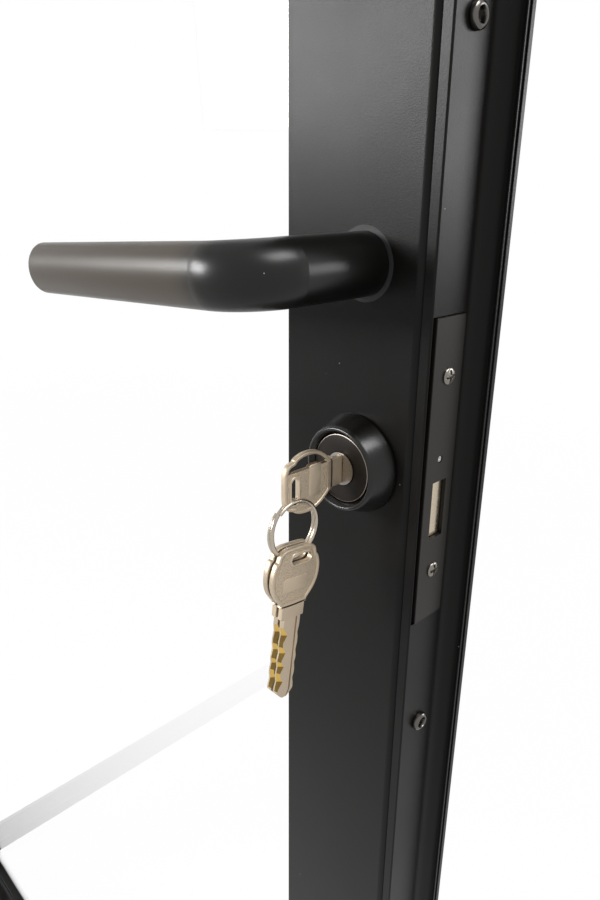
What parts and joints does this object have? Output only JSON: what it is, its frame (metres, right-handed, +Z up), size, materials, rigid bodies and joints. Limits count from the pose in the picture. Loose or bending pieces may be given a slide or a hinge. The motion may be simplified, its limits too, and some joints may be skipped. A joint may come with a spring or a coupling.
{
  "type": "glazed aluminium door set",
  "caption": "Black aluminium framed glass door with its outer frame, open ninety degrees, with lever handles, key cylinder, keys on a ring, dead bolt and shoot bolts",
  "frame": {"origin": "middle of the outer frame's underside, on the floor line", "axes": "+X across the opening from the lock jamb to the hinge jamb, +Y through the wall from the push side's rebate face to the pull side of the shut door, +Z up"},
  "size_m": [0.9835, 0.9466, 2.13],
  "materials": {
    "frame_coat": "fine satin powder coat on aluminium",
    "leaf_coat": "fine satin powder coat on aluminium",
    "faceplate_coat": "warm grey-brown coat on steel plate",
    "clear_glass": "clear toughened float glass",
    "seal_rubber": "black extruded rubber",
    "lever_black": "satin black coat on cast aluminium",
    "ring_black": "satin black coat on turned brass",
    "cylinder_brown": "dark brown plated brass",
    "plug_nickel": "nickel plated brass",
    "bolt_steel": "ground steel",
    "screw_steel": "bright zinc plated steel",
    "case_steel": "zinc plated steel",
    "gear_steel": "hardened steel",
    "cleat_aluminium": "mill finish cast aluminium",
    "guide_nylon": "black nylon",
    "key_nickel": "nickel plated brass, worn to brass on the cuts",
    "ring_steel": "bright spring steel wire"
  },
  "bodies": {
    "frame": {"jamb_lock": "frame_coat", "jamb_hinge": "frame_coat", "head": "frame_coat", "threshold": "frame_coat", "frame_corner_cleats": "cleat_aluminium", "frame_stop_seal": "seal_rubber", "head_stop_seal": "seal_rubber", "strike_plate": "case_steel", "strike_screws": "screw_steel", "keeper_head": "case_steel", "keeper_threshold": "case_steel", "hinge_frame_low": "frame_coat", "hinge_frame_middle": "frame_coat", "hinge_frame_high": "frame_coat", "hinge_pins": "case_steel"},
    "leaf": {"stile_lock": "leaf_coat", "stile_hinge": "leaf_coat", "rail_top": "leaf_coat", "rail_bottom": "leaf_coat", "leaf_corner_cleats": "cleat_aluminium", "flange_seal": "seal_rubber", "glass": "clear_glass", "gasket_push": "seal_rubber", "gasket_pull": "seal_rubber", "setting_blocks": "guide_nylon", "bead_hinge": "leaf_coat", "bead_top": "leaf_coat", "bead_lock": "leaf_coat", "bead_bottom": "leaf_coat", "hinge_leaf_low": "leaf_coat", "hinge_leaf_middle": "leaf_coat", "hinge_leaf_high": "leaf_coat", "lock_case": "case_steel", "lock_cover": "case_steel", "faceplate": "faceplate_coat", "faceplate_screws": "screw_steel", "edge_screws": "screw_steel", "cylinder_body": "cylinder_brown", "ring_push": "ring_black", "ring_pull": "ring_black", "set_screw": "screw_steel", "turn_housing": "cylinder_brown", "drive_case": "case_steel", "lever_bushes": "guide_nylon", "rod_guides": "guide_nylon"},
    "lever": {"lever_push": "lever_black", "lever_pull": "lever_black", "spindle": "gear_steel", "pinion": "gear_steel", "grub_screws": "screw_steel"},
    "rod_upper": {"rod_upper": "gear_steel"},
    "rod_lower": {"rod_lower": "gear_steel"},
    "bolt": {"bolt": "bolt_steel"},
    "plug": {"plug": "plug_nickel", "cam": "gear_steel", "thumb_turn": "ring_black"},
    "key": {"key": "key_nickel"},
    "key_ring": {"key_ring": "ring_steel"},
    "spare_key_near": {"spare_key_near": "key_nickel"},
    "spare_key_far": {"spare_key_far": "key_nickel"}
  },
  "joints": [
    {"name": "leaf_swing", "type": "hinge", "parent": "frame", "child": "leaf", "pos_m": [0.4479, -0.0352, 1.065], "axis": [0, 0, 1], "range_deg": [-90, 70]},
    {"name": "lever_turn", "type": "hinge", "parent": "leaf", "child": "lever", "pos_m": [0.4129, -0.8825, 1.0955], "axis": [-1, 0, 0], "range_deg": [0, 90]},
    {"name": "rod_upper_slide", "type": "slide", "parent": "leaf", "child": "rod_upper", "axis": [0, 0, 1], "range_m": [0, 0.022]},
    {"name": "rod_lower_slide", "type": "slide", "parent": "leaf", "child": "rod_lower", "axis": [0, 0, -1], "range_m": [0, 0.022]},
    {"name": "key_turn", "type": "hinge", "parent": "leaf", "child": "plug", "pos_m": [0.4129, -0.8825, 1.02], "axis": [-1, 0, 0], "range_deg": [0, 90]},
    {"name": "bolt_slide", "type": "slide", "parent": "leaf", "child": "bolt", "axis": [0, -1, 0], "range_m": [0, 0.0149]},
    {"name": "key_insert", "type": "slide", "parent": "plug", "child": "key", "axis": [1, 0, 0], "range_m": [-0.036, 0]},
    {"name": "ring_swing", "type": "hinge", "parent": "key", "child": "key_ring", "pos_m": [0.37905, -0.8825, 1.01415], "axis": [0, -1, 0], "range_deg": [-20, 12]},
    {"name": "spare_near_swing", "type": "hinge", "parent": "key_ring", "child": "spare_key_near", "pos_m": [0.37905, -0.88425, 0.99169], "axis": [0, -1, 0], "range_deg": [-15, 15]},
    {"name": "spare_far_swing", "type": "hinge", "parent": "key_ring", "child": "spare_key_far", "pos_m": [0.37905, -0.88075, 0.99169], "axis": [0, -1, 0], "range_deg": [-15, 15]}
  ],
  "couplings": [
    {"joint": "rod_upper_slide", "follows": "lever_turn", "m_per_rad": 0.014},
    {"joint": "rod_lower_slide", "follows": "lever_turn", "m_per_rad": 0.014},
    {"joint": "bolt_slide", "follows": "key_turn", "m_per_rad": 0.0094533}
  ]
}
